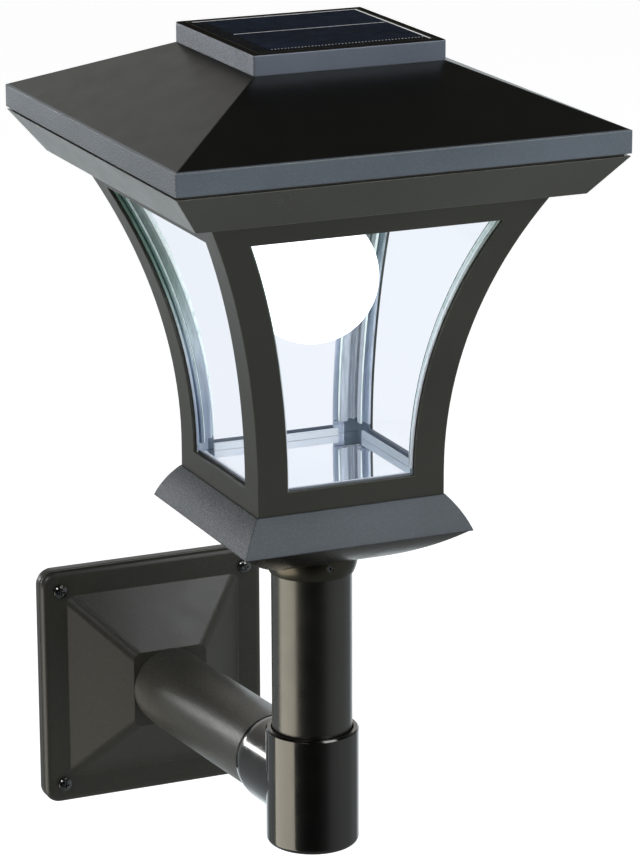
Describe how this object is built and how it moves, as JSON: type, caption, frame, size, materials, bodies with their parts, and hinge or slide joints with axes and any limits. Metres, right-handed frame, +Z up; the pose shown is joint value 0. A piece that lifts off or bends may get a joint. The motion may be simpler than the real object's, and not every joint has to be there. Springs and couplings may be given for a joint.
{
  "type": "solar wall lantern",
  "caption": "Square flared lantern with bent glass panes and a hipped solar roof, on a post held off the wall by a tube arm and an upright plate.",
  "frame": {"origin": "middle of the wall plate's back, on the wall plane", "axes": "+X along the wall, +Y into the wall, +Z up; the lantern stands out towards -Y"},
  "size_m": [0.24, 0.3795, 0.4884],
  "materials": {
    "plate_paint": "satin dark bronze powder coat on aluminium",
    "arm_paint": "fine textured dark bronze powder coat on aluminium",
    "fitting_paint": "smooth glossy dark bronze paint on aluminium",
    "post_paint": "smooth glossy dark bronze paint on aluminium",
    "cup_paint": "smooth glossy dark bronze paint on aluminium",
    "skirt_paint": "fine textured dark bronze powder coat on aluminium",
    "frame_paint": "satin dark bronze powder coat on aluminium",
    "roof_paint": "satin dark bronze powder coat on aluminium",
    "tray_paint": "satin dark bronze powder coat on aluminium",
    "panel_frame_paint": "satin dark bronze powder coat on aluminium",
    "window_glass": "clear bent glass",
    "silver_trim": "bright folded sheet",
    "clip_plastic": "moulded dark grey",
    "mirror_floor": "polished",
    "solar_cells": "dark cells under clear resin",
    "seal_rubber": "matte black",
    "black_steel": "glossy black screws",
    "zinc_steel": "zinc plated",
    "plug_steel": "turned",
    "globe_white": "frosted diffuser",
    "neck_white": "moulded",
    "cap_metal": "nickel plated",
    "led_board_white": "white solder mask",
    "holder_plastic": "moulded",
    "board_green": "green solder mask",
    "cell_wrap": "shrink sleeve",
    "contact_metal": "nickel plated spring",
    "hatch_paint": "moulded dark lid",
    "switch_plastic": "moulded housing",
    "button_rubber": "soft cap",
    "wire_insulation": "insulated wire"
  },
  "bodies": {
    "bracket": {"wall_plate": "plate_paint", "wall_gasket": "seal_rubber", "wall_screws": "black_steel", "arm_tube": "arm_paint", "arm_plug": "plug_steel", "arm_bolts": "zinc_steel", "tee_fitting": "fitting_paint", "tee_set_screws": "black_steel", "post_tube": "post_paint"},
    "lantern": {"base_cup": "cup_paint", "collar_set_screws": "black_steel", "skirt": "skirt_paint", "base_screws": "zinc_steel", "body_frame": "frame_paint", "front_pane": "window_glass", "right_pane": "window_glass", "rear_pane": "window_glass", "left_pane": "window_glass", "front_left_retainer": "silver_trim", "front_right_retainer": "silver_trim", "rear_right_retainer": "silver_trim", "rear_left_retainer": "silver_trim", "corner_clips": "clip_plastic", "pane_seals": "seal_rubber", "window_sill": "silver_trim", "floor_reflector": "mirror_floor"},
    "head": {"soffit_tray": "tray_paint", "roof_cover": "roof_paint", "tray_screws": "black_steel", "panel_frame": "panel_frame_paint", "panel_seal": "seal_rubber", "solar_panel": "solar_cells", "lamp_holder": "holder_plastic", "control_board": "board_green", "board_screws": "zinc_steel", "battery_cell": "cell_wrap", "battery_contacts": "contact_metal", "switch_housing": "switch_plastic", "panel_wire": "wire_insulation", "battery_wire": "wire_insulation", "lamp_wire": "wire_insulation"},
    "hatch": {"battery_hatch": "hatch_paint", "hatch_screws": "zinc_steel"},
    "bulb": {"globe": "globe_white", "bulb_neck": "neck_white", "bulb_cap": "cap_metal", "led_board": "led_board_white"},
    "switch": {"switch_button": "button_rubber"}
  },
  "joints": [
    {"name": "lantern_turn", "type": "hinge", "parent": "bracket", "child": "lantern", "pos_m": [0, -0.2415, 0.142], "axis": [0, 0, 1], "continuous": true},
    {"name": "head_lift", "type": "slide", "parent": "lantern", "child": "head", "axis": [0, 0, 1], "range_m": [0, 0.1]},
    {"name": "bulb_turn", "type": "hinge", "parent": "head", "child": "bulb", "pos_m": [0, -0.2415, 0.347], "axis": [0, 0, 1], "continuous": true},
    {"name": "hatch_release", "type": "slide", "parent": "head", "child": "hatch", "axis": [0, 0, -1], "range_m": [0, 0.025]},
    {"name": "switch_press", "type": "slide", "parent": "head", "child": "switch", "axis": [0, 0, 1], "range_m": [0, 0.0025], "stiffness_N_per_m": 400}
  ]
}
